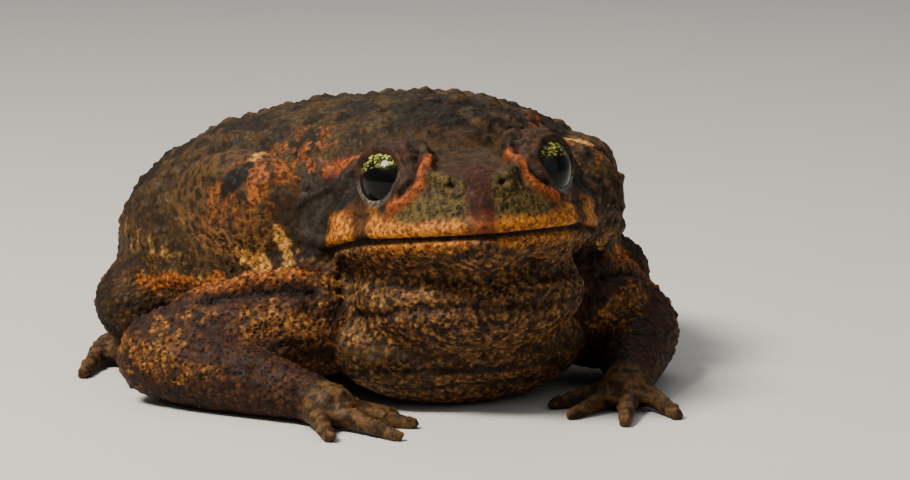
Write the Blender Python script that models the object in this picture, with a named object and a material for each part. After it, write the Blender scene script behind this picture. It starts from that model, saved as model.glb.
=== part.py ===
"""A cane toad at life size, sitting low and puffed up. It faces -Y and its right side is towards -X."""

import math

import bmesh
import bpy
import numpy as np
from mathutils import Matrix, Vector
from mathutils.bvhtree import BVHTree

# Every size below is in millimetres and every angle in degrees; the finished meshes are put into metres.
METRES_PER_MM = 0.001
LEFT, RIGHT = 1, -1

# Gaps and the fineness of the meshes
GAP = 0.3
SKIN_VOXEL = 0.8
SKIN_SMOOTHING = 3
BODY_TRIANGLES = 7100
FINENESS = 0.03
EYE_SEGMENTS = 22

# How the head is carried: the snout tip, on the line of the mouth, and the turns about it
SNOUT = Vector((-7.5, -69.0, 36.0))
HEAD_YAW = 12.5
HEAD_PITCH = 6.5
HEAD_ROLL = 3.0

# Head, in its own axes: x to its left, d back from the snout tip, h up from the line of the mouth
HEAD_LENGTH = 42.0
HEAD_HALF_WIDTH = 27.0
LIP_RADIUS = 1.7
LIP_RISE = 1.5
CHIN_INSET = 1.6
CHIN_DEPTH = 7.0
MOUTH_CORNER = 33.0
MOUTH_DROP = 2.2

# Eyes, lids and crests
EYE_CENTRE = (12.6, 21.0, 10.8)
EYE_RADIUS = 6.9
EYE_AXIS_YAW = 46.0
EYE_AXIS_RISE = 10.0
LID_THICKNESS = 1.0
LID_OPENING = (5.0, 4.4)
CREST_RADIUS = 1.9
LID_TILT = 8.0
CORNEA_RISE = 0.5

# Nostrils and eardrums
NOSTRIL = (4.7, 3.6, 9.6)
NOSTRIL_RADII = (0.8, 1.3, 0.8)
EARDRUM_CENTRE = (24.0, 35.0, 4.8)
EARDRUM_RADIUS = 4.1
EARDRUM_THICKNESS = 1.6
EARDRUM_FORWARD = 22.0
EARDRUM_UPWARD = 8.0
EARDRUM_OVAL = (0.9, 1.1)

# Trunk: distance back, half width, top and underside
TRUNK = (
    (-46.0, 12.0, 38.0, 9.0),
    (-36.0, 20.0, 47.0, 3.0),
    (-24.0, 30.0, 53.5, -1.5),
    (-11.0, 39.5, 55.5, -2.0),
    (4.0, 50.0, 54.5, -2.0),
    (18.0, 52.0, 52.0, -2.0),
    (34.0, 47.0, 47.5, -2.0),
    (50.0, 34.0, 38.0, 0.0),
    (61.0, 20.0, 28.0, 4.0),
    (67.0, 8.0, 20.0, 10.0),
)
TRUNK_SQUARENESS = 2.15

# The left side of the neck, stretched by the turn of the head: joints with their radii
NECK_SIDE = ((19.0, -34.0, 32.5, 6.0), (22.5, -28.0, 33.5, 8.6), (28.0, -19.0, 34.5, 12.0))

# Parotoid glands, the swellings behind the eyes
GLAND_CENTRE = (33.0, -6.5, 31.0)
GLAND_RADII = (9.4, 20.0, 15.5)
GLAND_YAW = 24.0
GLAND_PITCH = -16.0
GLAND_TILT = 24.0

# Limbs: joints with their radii
SHOULDER = (28.0, -28.0, 15.0, 11.5)
ELBOW_RIGHT = (54.0, -20.0, 9.0, 8.6)
ELBOW_LEFT = (41.0, -24.0, 9.5, 8.6)
WRIST_RIGHT = (35.0, -49.0, 5.0, 4.6)
WRIST_LEFT = (29.0, -51.0, 5.0, 4.6)
HIP = (24.0, 44.0, 19.0, 13.0)
KNEE = (50.0, 12.0, 14.0, 8.8)
HEEL = (33.0, 50.0, 7.5, 5.4)
TOE_BASE = (46.5, 29.0, 4.0, 4.4)

# Fingers and toes: how far each one turns outwards from the line of the limb, and its length
FINGERS = ((-52.0, 13.0), (-20.0, 15.0), (12.0, 18.0), (44.0, 14.0))
TOES = ((-26.0, 13.0), (-12.0, 19.0), (2.0, 26.0), (15.0, 32.0), (33.0, 22.0))
FINGER_RADIUS = 1.9
TOE_RADIUS = 1.9

# The cut through the neck and under the throat
NECK_YAW = 6.0
NECK_BACK = -25.0
NECK_HEIGHT = 36.0
NECK_SLANT = 30.0
THROAT_FOLD = 12.5

# Warts on the back
WART_SEED = 11
WART_COUNT = 60
WART_RADII = (2.0, 3.6)
WART_RISE = 0.4

# Colour and roughness of each kind of node
COLOURS = {
    "torso": ((0.12, 0.09, 0.05), 0.62),
    "head": ((0.24, 0.15, 0.07), 0.55),
    "lower_jaw": ((0.42, 0.29, 0.15), 0.6),
    "eye": ((0.02, 0.018, 0.012), 0.08),
    "eardrum": ((0.05, 0.045, 0.035), 0.5),
    "parotoid": ((0.34, 0.18, 0.07), 0.6),
    "upper_arm": ((0.18, 0.11, 0.06), 0.62),
    "forearm": ((0.26, 0.18, 0.09), 0.62),
    "hand": ((0.24, 0.17, 0.09), 0.6),
    "thigh": ((0.15, 0.11, 0.06), 0.62),
    "shin": ((0.17, 0.12, 0.07), 0.62),
    "foot": ((0.2, 0.14, 0.08), 0.6),
}


def clear_scene():
    for thing in list(bpy.data.objects):
        bpy.data.objects.remove(thing, do_unlink=True)


def head_matrix():
    turn = Matrix.Rotation(math.radians(-HEAD_YAW), 4, "Z")
    turn = turn @ Matrix.Rotation(math.radians(-HEAD_ROLL), 4, "Y")
    turn = turn @ Matrix.Rotation(math.radians(-HEAD_PITCH), 4, "X")
    return Matrix.Translation(SNOUT) @ turn


HEAD = head_matrix()
WORLD = Matrix.Identity(4)


def spline(rows, steps):
    """The rows with more put between them along a smooth curve that passes through each."""
    rows = np.array(rows, float)
    padded = np.vstack([2 * rows[0] - rows[1], rows, 2 * rows[-1] - rows[-2]])
    out = []
    for i in range(len(rows) - 1):
        a, b, c, d = padded[i : i + 4]
        for t in np.arange(steps) / steps:
            bend = (2 * a - 5 * b + 4 * c - d) * t**2
            twist = (3 * b - a - 3 * c + d) * t**3
            out.append(0.5 * (2 * b + (c - a) * t + bend + twist))
    out.append(rows[-1])
    return np.array(out)


def skin_rings(bm, rings):
    """One closed surface over rings of points that all have the same count, facing out."""
    rows = [[bm.verts.new(point) for point in ring] for ring in rings]
    count = len(rows[0])
    faces = []
    for near, far in zip(rows, rows[1:]):
        for i in range(count):
            j = (i + 1) % count
            faces.append(bm.faces.new((near[i], near[j], far[j], far[i])))
    faces.append(bm.faces.new(list(reversed(rows[0]))))
    faces.append(bm.faces.new(rows[-1]))
    bmesh.ops.recalc_face_normals(bm, faces=faces)


def add_ellipsoid(bm, centre, radii, turn=(0, 0, 0), frame=WORLD, detail=3):
    spin = Matrix.Rotation(math.radians(turn[2]), 4, "Z")
    spin = spin @ Matrix.Rotation(math.radians(turn[0]), 4, "X")
    spin = spin @ Matrix.Rotation(math.radians(turn[1]), 4, "Y")
    place = frame @ Matrix.Translation(centre) @ spin @ Matrix.Diagonal((*radii, 1))
    bmesh.ops.create_icosphere(bm, subdivisions=detail, radius=1, matrix=place)


def add_block(bm, centre, size, turn=(0, 0, 0), frame=WORLD):
    spin = Matrix.Rotation(math.radians(turn[2]), 4, "Z")
    spin = spin @ Matrix.Rotation(math.radians(turn[0]), 4, "X")
    spin = spin @ Matrix.Rotation(math.radians(turn[1]), 4, "Y")
    place = frame @ Matrix.Translation(centre) @ spin @ Matrix.Diagonal((*size, 1))
    bmesh.ops.create_cube(bm, size=1, matrix=place)


def add_cone(bm, place, near, far, depth, segments=22):
    bmesh.ops.create_cone(
        bm, cap_ends=True, segments=segments, radius1=near, radius2=far, depth=depth, matrix=place
    )


def add_tube(bm, joints, frame=WORLD, grow=0.0, steps=6, sides=16):
    """A round limb through joints of x, y, z and radius, with a rounded end at each side."""
    path = spline(joints, steps)
    path[:, 3] += grow
    places = path[:, :3]
    ahead = np.gradient(places, axis=0)
    ahead /= np.linalg.norm(ahead, axis=1)[:, None]
    lean = Vector((0, 0, 1)) if abs(ahead[0][2]) < 0.8 else Vector((0, 1, 0))
    rings = []

    def ring(centre, radius, along):
        side = along.cross(lean).normalized()
        rise = side.cross(along).normalized()
        turns = np.arange(sides) * 2 * math.pi / sides
        return [frame @ (centre + (side * math.cos(a) + rise * math.sin(a)) * radius) for a in turns]

    for share in (0.95, 0.7, 0.35):
        along = Vector(ahead[0])
        centre = Vector(places[0]) - along * path[0, 3] * share
        rings.append(ring(centre, path[0, 3] * math.sqrt(1 - share**2), along))
    for place, along, radius in zip(places, ahead, path[:, 3]):
        rings.append(ring(Vector(place), radius, Vector(along)))
    for share in (0.35, 0.7, 0.95):
        along = Vector(ahead[-1])
        centre = Vector(places[-1]) + along * path[-1, 3] * share
        rings.append(ring(centre, path[-1, 3] * math.sqrt(1 - share**2), along))
    skin_rings(bm, rings)


def add_loft(bm, stations, squareness, frame=WORLD, steps=5, sides=32):
    """Rounded sections along y, from stations of distance, half width, top and underside."""
    rings = []
    for distance, half, top, low in spline(stations, steps):
        middle, rise = (top + low) / 2, (top - low) / 2
        ring = []
        for a in np.arange(sides) * 2 * math.pi / sides:
            x = math.copysign(abs(math.cos(a)) ** (2 / squareness), math.cos(a)) * half
            z = math.copysign(abs(math.sin(a)) ** (2 / squareness), math.sin(a)) * rise
            ring.append(frame @ Vector((x, distance, middle + z)))
        rings.append(ring)
    skin_rings(bm, rings)


def lip_half_width(distance):
    """Half the width of the head along the lips, from above: blunt at the snout, wide at the cheeks."""
    share = min(max(distance / HEAD_LENGTH, 0.0), 1.0)
    return HEAD_HALF_WIDTH * (1 - (1 - share) ** 1.9) ** 0.62


def mouth_height(distance):
    """The line of the mouth, which drops a little at its corners."""
    return -MOUTH_DROP * (max(distance, 0.0) / MOUTH_CORNER) ** 3


def lip_path(inset, rise, reach, radius):
    """Joints of a lip from one corner of the mouth round the snout to the other."""
    joints = []
    for share in np.linspace(-1, 1, 17):
        distance = reach * abs(share) ** 1.7
        half = math.copysign(max(lip_half_width(distance) - inset, 0.0), share)
        thin = radius * (1 - 0.25 * abs(share) ** 4)
        joints.append((half, distance + inset, mouth_height(distance) + rise, thin))
    return joints


def add_head(bm):
    cheeks, crown, chin = [], [], []
    for distance in (0.35, 1.5, 4.0, 9.0, 16.0, 24.0, 32.0, 40.0, 48.0):
        half = lip_half_width(distance)
        nose = min(1.0, (distance / 5.0) ** 0.35)
        cheeks.append((distance, half, nose * (11.5 + 0.10 * distance), -7.0 * nose))
        ridge = nose * (11.4 + 0.13 * distance)
        crown.append((distance + 0.8, 0.42 * half + 1.6 * nose, ridge, -1.0))
        low = -CHIN_DEPTH * min(1.0, (distance / 14.0) ** 0.6)
        chin.append((distance + CHIN_INSET, max(half - CHIN_INSET, 0.3), 2.0 * nose, low - 0.5))
    add_loft(bm, cheeks, 1.75, HEAD)
    add_loft(bm, crown, 3.0, HEAD)
    add_loft(bm, chin, 2.3, HEAD)
    add_tube(bm, lip_path(0.9, LIP_RISE, MOUTH_CORNER, LIP_RADIUS), HEAD, steps=2, sides=12)
    add_tube(bm, lip_path(1.7, -1.7, MOUTH_CORNER, LIP_RADIUS * 0.85), HEAD, steps=2, sides=12)
    # The throat swells below and behind the chin.
    add_ellipsoid(bm, (0, 30.0, -11.6), (22.5, 20.5, 11.0), (8, 0, 0), HEAD)


def crest_paths(side):
    """Bony ridges of one side of the head, as joints of x, distance back, height and radius."""
    r = CREST_RADIUS
    front = (9.4, 14.0, 12.2, r)
    brow = (14.0, 32.0, 14.4, r)
    along_snout = ((5.0, 5.0, 9.6, r * 0.7), (7.6, 9.5, 11.2, r * 0.9), front)
    over_eye = (front, (8.2, 19.0, 14.2, r), (9.6, 27.0, 15.2, r), brow)
    before_eye = (front, (13.2, 13.6, 8.8, r * 0.9), (16.6, 15.4, 4.6, r * 0.8))
    behind_eye = (brow, (20.0, 31.6, 11.6, r * 0.9), (22.6, 30.6, 6.5, r * 0.8))
    to_gland = (brow, (18.6, 36.0, 13.2, r), (21.5, 41.0, 10.8, r))
    crests = (along_snout, over_eye, before_eye, behind_eye, to_gland)
    return [[(side * x, d, h, radius) for x, d, h, radius in crest] for crest in crests]


def eye_frame(side):
    """Axes at one eye, with +Z out along its gaze."""
    gaze = Matrix.Rotation(math.radians(side * EYE_AXIS_YAW), 4, "Z")
    gaze = gaze @ Matrix.Rotation(math.radians(90 - EYE_AXIS_RISE), 4, "X")
    x, distance, height = EYE_CENTRE
    return HEAD @ Matrix.Translation((side * x, distance, height)) @ gaze


def eardrum_frame(side):
    """Axes at one eardrum, with +Z out of it."""
    face = Matrix.Rotation(math.radians(side * (90 - EARDRUM_FORWARD)), 4, "Z")
    face = face @ Matrix.Rotation(math.radians(90 - EARDRUM_UPWARD), 4, "X")
    x, distance, height = EARDRUM_CENTRE
    return HEAD @ Matrix.Translation((side * x, distance, height)) @ face


def add_face_side(bm, side):
    lid = EYE_RADIUS + LID_THICKNESS
    add_ellipsoid(bm, (0, 0, -0.2), (lid + 0.5, lid, lid), (0, 0, 0), eye_frame(side))
    add_ellipsoid(bm, (side * 11.6, 22.0, 12.0), (6.8, 9.5, 6.2), (0, side * 14, 0), HEAD)
    for path in crest_paths(side):
        add_tube(bm, path, HEAD, steps=4, sides=12)
    add_ellipsoid(bm, (side * 10.8, 14.8, 8.4), (5.0, 6.0, 4.6), (0, 0, 0), HEAD)
    # The cheek behind the corner of the mouth and round the eardrum
    add_ellipsoid(bm, (side * 17.5, 36.0, 3.5), (7.6, 11.0, 10.0), (0, 0, 0), HEAD)


def arm_joints(side):
    elbow = ELBOW_LEFT if side == LEFT else ELBOW_RIGHT
    wrist = WRIST_LEFT if side == LEFT else WRIST_RIGHT
    return [(side * x, y, z, r) for x, y, z, r in (SHOULDER, elbow, wrist)]


def leg_joints(side):
    return [(side * x, y, z, r) for x, y, z, r in (HIP, KNEE, HEEL, TOE_BASE)]


def bulge(a, b, share=0.45, swell=1.08):
    """A joint put between two others, a little thicker than they are there."""
    a, b = np.array(a), np.array(b)
    middle = a + (b - a) * share
    middle[3] *= swell
    return tuple(middle)


def digit_paths(side, base, heading, digits, radius, spread):
    """Fingers or toes that fan out on the floor from a base, each with a knuckle and a blunt tip."""
    paths = []
    for index, (angle, length) in enumerate(digits):
        turn = math.radians(heading + angle)
        ahead = Vector((side * math.sin(turn), -math.cos(turn), 0))
        across = Vector((side * math.cos(turn), math.sin(turn), 0))
        root = Vector(base) + across * spread * (index - (len(digits) - 1) / 2)
        knuckle = root + ahead * length * 0.5
        tip = root + ahead * length
        paths.append((
            (root.x, root.y, 3.0, radius * 1.25),
            (knuckle.x, knuckle.y, 2.2, radius * 1.0),
            ((knuckle.x + tip.x) / 2, (knuckle.y + tip.y) / 2, 1.5, radius * 0.85),
            (tip.x, tip.y, 0.9, radius * 0.8),
        ))
    return paths


def hand_paths(side):
    wrist = arm_joints(side)[2]
    palm = (wrist[0] - side * 3.5, wrist[1] - 5.0, 0)
    return palm, digit_paths(side, palm, -38.0, FINGERS, FINGER_RADIUS, 2.4)


def foot_paths(side):
    base = leg_joints(side)[3]
    sole = (base[0] + side * 2.0, base[1] - 3.0, 0)
    return sole, digit_paths(side, sole, -6.0, TOES, TOE_RADIUS, 2.2)


def add_limbs(bm, side):
    shoulder, elbow, wrist = arm_joints(side)
    add_tube(bm, (shoulder, bulge(shoulder, elbow), elbow))
    add_tube(bm, (elbow, bulge(elbow, wrist, 0.35, 1.12), wrist))
    palm, fingers = hand_paths(side)
    add_tube(bm, (wrist, (palm[0], palm[1], 3.4, 4.6)))
    for path in fingers:
        add_tube(bm, path, steps=3, sides=10)
    hip, knee, heel, base = leg_joints(side)
    add_tube(bm, (hip, bulge(hip, knee, 0.45, 1.12), knee))
    add_tube(bm, (knee, bulge(knee, heel, 0.35, 1.12), heel))
    add_tube(bm, (heel, base))
    sole, toes = foot_paths(side)
    add_tube(bm, (base, (sole[0], sole[1], 3.0, 4.2)))
    for path in toes:
        add_tube(bm, path, steps=3, sides=10)


def add_trunk(bm):
    add_loft(bm, TRUNK, TRUNK_SQUARENESS, steps=4)
    for side in (LEFT, RIGHT):
        add_gland(bm, side, 0.0)
    add_tube(bm, NECK_SIDE)
    # The chest between the arms, and the rump over the vent
    add_ellipsoid(bm, (-1.0, -38.0, 11.0), (25.0, 15.0, 11.5))
    add_ellipsoid(bm, (0, 58.0, 20.0), (13.0, 10.5, 9.0))


def add_gland(bm, side, grow, detail=3):
    x, y, z = GLAND_CENTRE
    radii = [r + grow for r in GLAND_RADII]
    turn = (GLAND_PITCH, side * GLAND_TILT, -side * GLAND_YAW)
    add_ellipsoid(bm, (side * x, y, z), radii, turn, detail=detail)


def to_object(bm, name):
    mesh = bpy.data.meshes.new(name)
    bm.to_mesh(mesh)
    bm.free()
    thing = bpy.data.objects.new(name, mesh)
    bpy.context.scene.collection.objects.link(thing)
    return thing


def settle(thing):
    """Puts the result of the object's modifiers into its mesh."""
    bpy.context.view_layer.update()
    done = thing.evaluated_get(bpy.context.evaluated_depsgraph_get())
    mesh = bpy.data.meshes.new_from_object(done)
    thing.modifiers.clear()
    thing.data = mesh
    return thing


def pieces_of(bm):
    """The separate surfaces of a mesh, each as a list of its vertices."""
    left, pieces = set(bm.verts), []
    while left:
        seed = left.pop()
        piece, edge = [seed], [seed]
        while edge:
            for link in edge.pop().link_edges:
                for other in link.verts:
                    if other in left:
                        left.remove(other)
                        piece.append(other)
                        edge.append(other)
        pieces.append(piece)
    return pieces


def one_body(thing, near=None):
    """Keeps one closed surface of the object: the one nearest a point, or else the largest."""
    bm = bmesh.new()
    bm.from_mesh(thing.data)
    bmesh.ops.triangulate(bm, faces=bm.faces[:])
    pieces = pieces_of(bm)
    if near is None:
        keep = max(pieces, key=len)
    else:
        keep = min(pieces, key=lambda piece: min((v.co - near).length for v in piece))
    keep = set(keep)
    bmesh.ops.delete(bm, geom=[v for v in bm.verts if v not in keep], context="VERTS")
    bm.to_mesh(thing.data)
    bm.free()
    return thing


def cut(thing, shape, operation, grow=0.0):
    """The object less a shape, or only what lies inside it."""
    bm = bmesh.new()
    shape(bm, grow)
    cutter = to_object(bm, "cutter")
    change = thing.modifiers.new("cut", "BOOLEAN")
    change.operation = operation
    change.solver = "EXACT"
    change.object = cutter
    settle(thing)
    bpy.data.objects.remove(cutter, do_unlink=True)
    return thing


def copy_of(thing, name):
    twin = bpy.data.objects.new(name, thing.data.copy())
    bpy.context.scene.collection.objects.link(twin)
    return twin


def take(body, name, shape):
    """Parts the body along a shape: what lies inside becomes a node, and the rest stands off by the gap."""
    node = one_body(cut(copy_of(body, name), shape, "INTERSECT"))
    one_body(cut(body, shape, "DIFFERENCE", GAP))
    return node


def add_warts(bm, surface):
    """Low domes on the back and flanks, sunk well into the skin and kept apart from one another."""
    chance = np.random.default_rng(WART_SEED)
    tree = BVHTree.FromBMesh(surface)
    placed = []
    while len(placed) < WART_COUNT:
        x = chance.uniform(-44, 44)
        y = chance.uniform(-22, 56)
        radius = chance.uniform(*WART_RADII)
        hit, normal, _, _ = tree.ray_cast(Vector((x, y, 90)), Vector((0, 0, -1)))
        if hit is None or hit.z < 18:
            continue
        if any((hit - other).length < 2.1 * (radius + size) for other, size in placed):
            continue
        placed.append((hit, radius))
        add_ellipsoid(bm, hit - normal * radius * (1 - WART_RISE), (radius, radius, radius), detail=2)


def fused_skin():
    """The whole animal as one closed surface, with a flat underside at the floor."""
    rough = bmesh.new()
    add_trunk(rough)
    flesh = bmesh.new()
    add_trunk(flesh)
    add_warts(flesh, rough)
    rough.free()
    add_head(flesh)
    for side in (LEFT, RIGHT):
        add_face_side(flesh, side)
        add_limbs(flesh, side)
    body = to_object(flesh, "torso")
    remesh = body.modifiers.new("remesh", "REMESH")
    remesh.mode = "VOXEL"
    remesh.voxel_size = SKIN_VOXEL
    smooth = body.modifiers.new("smooth", "SMOOTH")
    smooth.factor = 0.5
    smooth.iterations = SKIN_SMOOTHING
    settle(body)
    thin_out(body)
    return one_body(cut(body, floor_shape, "DIFFERENCE"))


def thin_out(body):
    """Fewer triangles, most of them kept for the face, the hands and the feet."""
    mesh = body.data
    group = body.vertex_groups.new(name="plain")
    to_head = HEAD.inverted()
    tips = []
    for side in (LEFT, RIGHT):
        for path in hand_paths(side)[1] + foot_paths(side)[1]:
            tips.append(Vector(path[2][:3]))
    for vertex in mesh.vertices:
        at = to_head @ vertex.co
        fine = -2 < at.y < 40 and abs(at.x) < 28 and -5 < at.z < 22
        fine = fine or (vertex.co.z < 6 and min((vertex.co - tip).length for tip in tips) < 9)
        group.add([vertex.index], 0.2 if fine else 1.0, "REPLACE")
    mesh.calc_loop_triangles()
    fewer = body.modifiers.new("fewer", "DECIMATE")
    fewer.ratio = BODY_TRIANGLES / len(mesh.loop_triangles)
    fewer.use_collapse_triangulate = True
    fewer.vertex_group = group.name
    fewer.vertex_group_factor = FINENESS
    settle(body)


def floor_shape(bm, grow):
    add_block(bm, (0, 0, -20), (400, 400, 40))


def socket_shape(side):
    radii = (EYE_RADIUS + GAP, EYE_RADIUS + GAP, EYE_RADIUS + CORNEA_RISE + GAP)
    return lambda bm, grow: add_ellipsoid(bm, (0, 0, 0), radii, frame=eye_frame(side))


def opening_shape(side):
    """The slit between the lids, wider towards the outside."""
    def shape(bm, grow):
        wide, tall = LID_OPENING
        tilt = Matrix.Rotation(math.radians(-side * LID_TILT), 4, "Z")
        place = eye_frame(side) @ tilt @ Matrix.Translation((0, 0, 9))
        add_cone(bm, place @ Matrix.Diagonal((wide, tall, 1, 1)), 0.86, 1.3, 9)
    return shape


def nostril_shape(side):
    x, y, z = NOSTRIL
    turn = (-20, 0, side * 30)
    return lambda bm, grow: add_ellipsoid(bm, (side * x, y, z), NOSTRIL_RADII, turn, HEAD, 2)


def eardrum_shape(place):
    """A short oval plug that takes the eardrum out of the skin around a point on it."""
    def shape(bm, grow):
        wide = EARDRUM_RADIUS + grow
        deep = EARDRUM_THICKNESS + grow
        middle = place @ Matrix.Translation((0, 0, (3 - deep) / 2))
        add_cone(bm, middle @ Matrix.Diagonal((*EARDRUM_OVAL, 1, 1)), wide, wide, 3 + deep)
    return shape


def make_eye(side, word):
    bm = bmesh.new()
    place = eye_frame(side) @ Matrix.Diagonal((EYE_RADIUS, EYE_RADIUS, EYE_RADIUS + CORNEA_RISE, 1))
    rows = EYE_SEGMENTS // 2
    bmesh.ops.create_uvsphere(bm, u_segments=EYE_SEGMENTS, v_segments=rows, radius=1, matrix=place)
    return to_object(bm, f"eye_{word}")


def limb_shape(joints, swell=0.7):
    return lambda bm, grow: add_tube(bm, joints, grow=grow + swell, steps=2, sides=12)


def part_limbs(body, side, word):
    shoulder, elbow, wrist = arm_joints(side)
    hip, knee, heel, _ = leg_joints(side)
    upper_arm = limb_shape((shoulder, bulge(shoulder, elbow), elbow))
    forearm = limb_shape((elbow, bulge(elbow, wrist, 0.35, 1.12), wrist))
    thigh = limb_shape((hip, bulge(hip, knee, 0.45, 1.12), knee))
    shin = limb_shape((knee, bulge(knee, heel, 0.35, 1.12), heel))
    finger, toe = [Vector(paths[2][3][:3]) for paths in (hand_paths(side)[1], foot_paths(side)[1])]
    # A hand or a foot is what is left of the animal at its tip once the bone before it is gone.
    hand = one_body(cut(copy_of(body, f"hand_{word}"), forearm, "DIFFERENCE", GAP), finger)
    foot = cut(copy_of(body, f"foot_{word}"), shin, "DIFFERENCE", GAP)
    one_body(cut(foot, thigh, "DIFFERENCE", GAP), toe)
    return [
        hand,
        foot,
        take(body, f"forearm_{word}", forearm),
        take(body, f"upper_arm_{word}", upper_arm),
        take(body, f"shin_{word}", shin),
        take(body, f"thigh_{word}", thigh),
    ]


def neck_shape(bm, grow):
    """All in front of the slanted cut through the neck and above the fold under the throat."""
    frame = Matrix.Translation((SNOUT.x, 0, 0)) @ Matrix.Rotation(math.radians(-NECK_YAW), 4, "Z")
    low, high = THROAT_FOLD - grow, 120.0
    slope = math.tan(math.radians(NECK_SLANT))
    edge = [NECK_BACK + (z - NECK_HEIGHT) * slope + grow for z in (low, high)]
    outline = ((-150.0, low), (edge[0], low), (edge[1], high), (-150.0, high))
    skin_rings(bm, [[frame @ Vector((x, y, z)) for y, z in outline] for x in (-120, 120)])


def jaw_shape(bm, grow):
    """All that lies below the line of the mouth."""
    rings = []
    for distance in np.linspace(-12, 90, 18):
        top = mouth_height(min(distance, 1.3 * MOUTH_CORNER)) - GAP / 2 + grow
        corners = ((-60, top), (60, top), (60, -90), (-60, -90))
        rings.append([HEAD @ Vector((x, distance, z)) for x, z in corners])
    skin_rings(bm, rings)


def on_skin(body, frame):
    """The frame moved along its own +Z onto the skin, from inside."""
    outward = (frame.to_3x3() @ Vector((0, 0, 1))).normalized()
    inside = frame.translation - outward * 8
    skin = bmesh.new()
    skin.from_mesh(body.data)
    hit = BVHTree.FromBMesh(skin).ray_cast(inside, outward)[0]
    skin.free()
    moved = frame.copy()
    moved.translation = hit
    return moved


def part_face(body, side, word):
    cut(body, opening_shape(side), "DIFFERENCE")
    cut(body, socket_shape(side), "DIFFERENCE")
    cut(body, nostril_shape(side), "DIFFERENCE")
    one_body(body)
    eardrum = eardrum_shape(on_skin(body, eardrum_frame(side)))
    return [take(body, f"eardrum_{word}", eardrum), make_eye(side, word)]


def gland_shape(side):
    return lambda bm, grow: add_gland(bm, side, grow + 0.8, 2)


def colour(node, name, rgb, roughness):
    material = bpy.data.materials.get(name) or bpy.data.materials.new(name)
    material.use_nodes = True
    shader = material.node_tree.nodes["Principled BSDF"]
    shader.inputs["Base Color"].default_value = (*rgb, 1)
    shader.inputs["Roughness"].default_value = roughness
    material.diffuse_color = (*rgb, 1)
    node.data.materials.clear()
    node.data.materials.append(material)


def finish(nodes):
    """Stands the nodes on the floor, centred, in metres, and gives each its colour."""
    points = np.array([v.co for node in nodes for v in node.data.vertices])
    low, high = points.min(axis=0), points.max(axis=0)
    shift = Vector((-(low[0] + high[0]) / 2, -(low[1] + high[1]) / 2, -low[2]))
    for node in nodes:
        node.data.transform(Matrix.Scale(METRES_PER_MM, 4) @ Matrix.Translation(shift))
        kind = node.name.removesuffix("_left").removesuffix("_right")
        colour(node, f"{kind}_skin", *COLOURS[kind])


def main():
    clear_scene()
    body = fused_skin()
    nodes = [body]
    for side, word in ((LEFT, "left"), (RIGHT, "right")):
        nodes += part_face(body, side, word)
        nodes += part_limbs(body, side, word)
        nodes.append(take(body, f"parotoid_{word}", gland_shape(side)))
    head = take(body, "head", neck_shape)
    nodes += [head, take(head, "lower_jaw", jaw_shape)]
    finish(nodes)


main()
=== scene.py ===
"""The looks of a life-size cane toad: one warty, moist skin over all its solids, and two wet eyes.

Sizes are in millimetres and angles in degrees; a mesh is put into metres when it becomes a piece.
"""

import itertools
import math

import bmesh
import bpy
import numpy as np
from mathutils import Matrix, Vector
from mathutils.bvhtree import BVHTree
from mathutils.kdtree import KDTree


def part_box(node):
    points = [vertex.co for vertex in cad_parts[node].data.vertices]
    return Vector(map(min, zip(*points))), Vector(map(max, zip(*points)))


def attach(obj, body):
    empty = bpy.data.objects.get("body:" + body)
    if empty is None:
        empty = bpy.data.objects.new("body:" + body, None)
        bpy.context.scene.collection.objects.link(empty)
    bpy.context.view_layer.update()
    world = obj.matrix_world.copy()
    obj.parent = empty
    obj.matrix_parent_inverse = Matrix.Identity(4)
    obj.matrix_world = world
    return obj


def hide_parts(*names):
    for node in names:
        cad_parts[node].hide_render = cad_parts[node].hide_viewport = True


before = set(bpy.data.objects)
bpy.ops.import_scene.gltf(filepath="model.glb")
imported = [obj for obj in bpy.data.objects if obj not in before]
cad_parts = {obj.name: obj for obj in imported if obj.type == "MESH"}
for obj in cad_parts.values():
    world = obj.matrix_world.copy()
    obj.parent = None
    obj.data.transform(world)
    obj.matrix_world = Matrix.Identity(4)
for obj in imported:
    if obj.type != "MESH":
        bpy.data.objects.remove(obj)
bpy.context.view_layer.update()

MM = 0.001
LEFT, RIGHT = 1, -1
WORDS = {LEFT: "left", RIGHT: "right"}

# The head's axes, as in the solids: x to its left, distance back from the snout's tip and height up from the
# mouth line
HEAD_YAW = 12.5
HEAD_PITCH = 6.5
HEAD_ROLL = 3.0
MOUTH_CORNER = 33.0
MOUTH_DROP = 2.2
MOUTH_END = (36, 31)

# Relief beside the mouth line, as height, place above the line and width: the two lips and the line itself
MOUTH_LINE_WIDTH = 0.45
LIP_RELIEF = ((0.5, 1.9, 1.3), (0.35, -1.3, 0.8), (-1.1, 0.0, MOUTH_LINE_WIDTH))

# Eyes. The lids' opening has a half width and how far it reaches below and above the gaze. The folds over
# the upper lid lie at shares of the opening, each with a width and a height, and wave by a noise.
EYE_CENTRE = (12.6, 21.0, 10.8)
EYE_RADIUS = 6.9
CORNEA_RISE = 0.5
EYE_AXIS_YAW = 46.0
EYE_AXIS_RISE = 10.0
LID_OPENING = (4.9, 4.8, 4.2)
LID_TILT = 8.0
LID_THICKNESS, LID_DEPTH = 1.0, 6.0
LID_FOLDS = ((1.38, 0.08, -0.24), (1.62, 0.09, -0.3), (1.88, 0.1, -0.26))
LID_WAVES = (3.0, 5)
EYE_DEPTH_OF_SKIN = 0.9
SOCKET_MARGIN = 0.6

# Shares of the lids' opening: the wall that rises from its edge, its shoulder, the blend into the head, and
# where all that ends
LID_WALL, LID_SHOULDER, LID_BLEND, LID_REACH = (0.97, 1.22), 1.3, (2.3, 1.5), 2.4

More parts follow.
